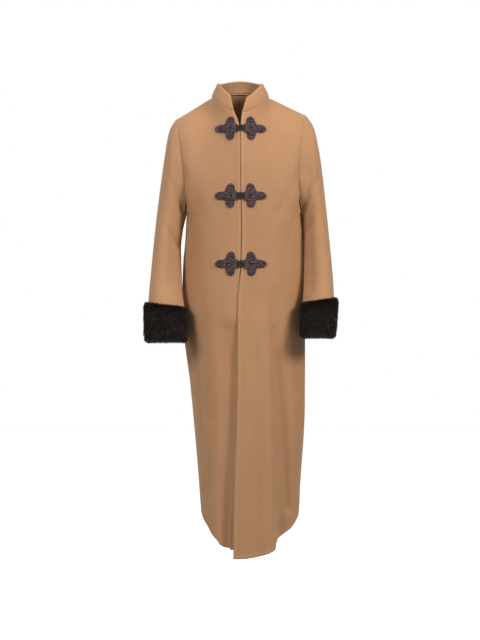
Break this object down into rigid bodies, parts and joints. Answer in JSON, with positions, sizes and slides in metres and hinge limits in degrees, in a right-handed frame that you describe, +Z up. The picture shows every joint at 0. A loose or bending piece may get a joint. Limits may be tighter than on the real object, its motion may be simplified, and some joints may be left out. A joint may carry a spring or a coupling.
{
  "type": "coat",
  "caption": "Long straight coat with a stand collar, three braided frog fastenings, long set-in sleeves and deep fur cuffs, hanging hollow as worn.",
  "frame": {"origin": "on the coat's centre plane, midway between the wearer's neck points, at the height of the shoulder seams' inner ends", "axes": "+Z up along the hanging coat, the front faces -Y, +X towards the wearer's left"},
  "size_m": [0.539, 0.2967, 1.3343],
  "materials": {
    "wool": "camel coloured double faced wool cloth with a short brushed nap and a soft sheen",
    "fur": "short dense dark brown fur, glossy at the tips",
    "braid": "dark brown braided cord with a dull silky sheen"
  },
  "bodies": {
    "root": {"back": "wool", "front_left": "wool", "front_right": "wool", "sleeve_left": "wool", "sleeve_right": "wool", "collar": "wool", "cuff_left": "fur", "cuff_right": "fur", "frog_1_left": "braid", "frog_1_right": "braid", "frog_1_loop": "braid", "frog_1_button": "braid", "frog_2_left": "braid", "frog_2_right": "braid", "frog_2_loop": "braid", "frog_2_button": "braid", "frog_3_left": "braid", "frog_3_right": "braid", "frog_3_loop": "braid", "frog_3_button": "braid"}
  },
  "joints": []
}
